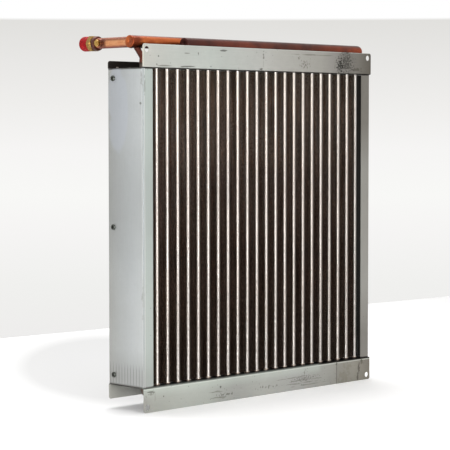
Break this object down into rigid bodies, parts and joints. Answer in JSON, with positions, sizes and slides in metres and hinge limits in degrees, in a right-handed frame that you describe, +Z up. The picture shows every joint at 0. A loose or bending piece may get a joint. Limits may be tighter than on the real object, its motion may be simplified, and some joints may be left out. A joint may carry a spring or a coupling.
{
  "type": "heat exchanger coil",
  "caption": "Finned-tube air coil: two staggered rows of copper hairpins in an aluminium fin pack, two copper headers above, in a flanged galvanised casing.",
  "frame": {"origin": "midway between the side panels, half way up the bottom front flange and on its front face", "axes": "+X along the coil's front from left to right, +Y from the front face to the rear where the connections leave, +Z up along the tubes towards the headers"},
  "size_m": [0.6022, 0.1848, 0.6551],
  "materials": {
    "galvanised_steel": "galvanised, slightly scuffed",
    "fin_aluminium": "thin dark fins with bright collars",
    "copper_tube": "copper, heat stained at the brazed ends",
    "bright_copper": "bright copper",
    "oxidised_copper": "dark red-brown oxidised copper",
    "brass_fitting": "machined brass",
    "red_plastic": "moulded polyethylene",
    "zinc_screw": "zinc plated"
  },
  "bodies": {
    "root": {"top_tube_sheet": "galvanised_steel", "bottom_tube_sheet": "galvanised_steel", "left_side_panel": "galvanised_steel", "right_side_panel": "galvanised_steel", "fin_pack": "fin_aluminium", "hairpin_01": "copper_tube", "hairpin_02": "copper_tube", "hairpin_03": "copper_tube", "hairpin_04": "copper_tube", "hairpin_05": "copper_tube", "hairpin_06": "copper_tube", "hairpin_07": "copper_tube", "hairpin_08": "copper_tube", "hairpin_09": "copper_tube", "hairpin_10": "copper_tube", "hairpin_11": "copper_tube", "hairpin_12": "copper_tube", "hairpin_13": "copper_tube", "hairpin_14": "copper_tube", "hairpin_15": "copper_tube", "hairpin_16": "copper_tube", "hairpin_17": "copper_tube", "hairpin_18": "copper_tube", "hairpin_19": "copper_tube", "hairpin_20": "copper_tube", "hairpin_21": "copper_tube", "hairpin_22": "copper_tube", "return_bend_01": "copper_tube", "return_bend_02": "copper_tube", "return_bend_03": "copper_tube", "return_bend_04": "copper_tube", "return_bend_05": "copper_tube", "return_bend_06": "copper_tube", "return_bend_07": "copper_tube", "return_bend_08": "copper_tube", "return_bend_09": "copper_tube", "return_bend_10": "copper_tube", "return_bend_11": "copper_tube", "return_bend_12": "copper_tube", "return_bend_13": "copper_tube", "return_bend_14": "copper_tube", "return_bend_15": "copper_tube", "return_bend_16": "copper_tube", "rear_header": "bright_copper", "front_header": "oxidised_copper", "left_connection_pipe": "bright_copper", "left_adapter": "brass_fitting", "left_vent_plug": "brass_fitting", "left_cap": "red_plastic", "left_screw_1": "zinc_screw", "left_screw_2": "zinc_screw", "left_screw_3": "zinc_screw", "right_connection_pipe": "bright_copper", "right_adapter": "brass_fitting", "right_vent_plug": "brass_fitting", "right_cap": "red_plastic", "right_screw_1": "zinc_screw", "right_screw_2": "zinc_screw", "right_screw_3": "zinc_screw"}
  },
  "joints": []
}
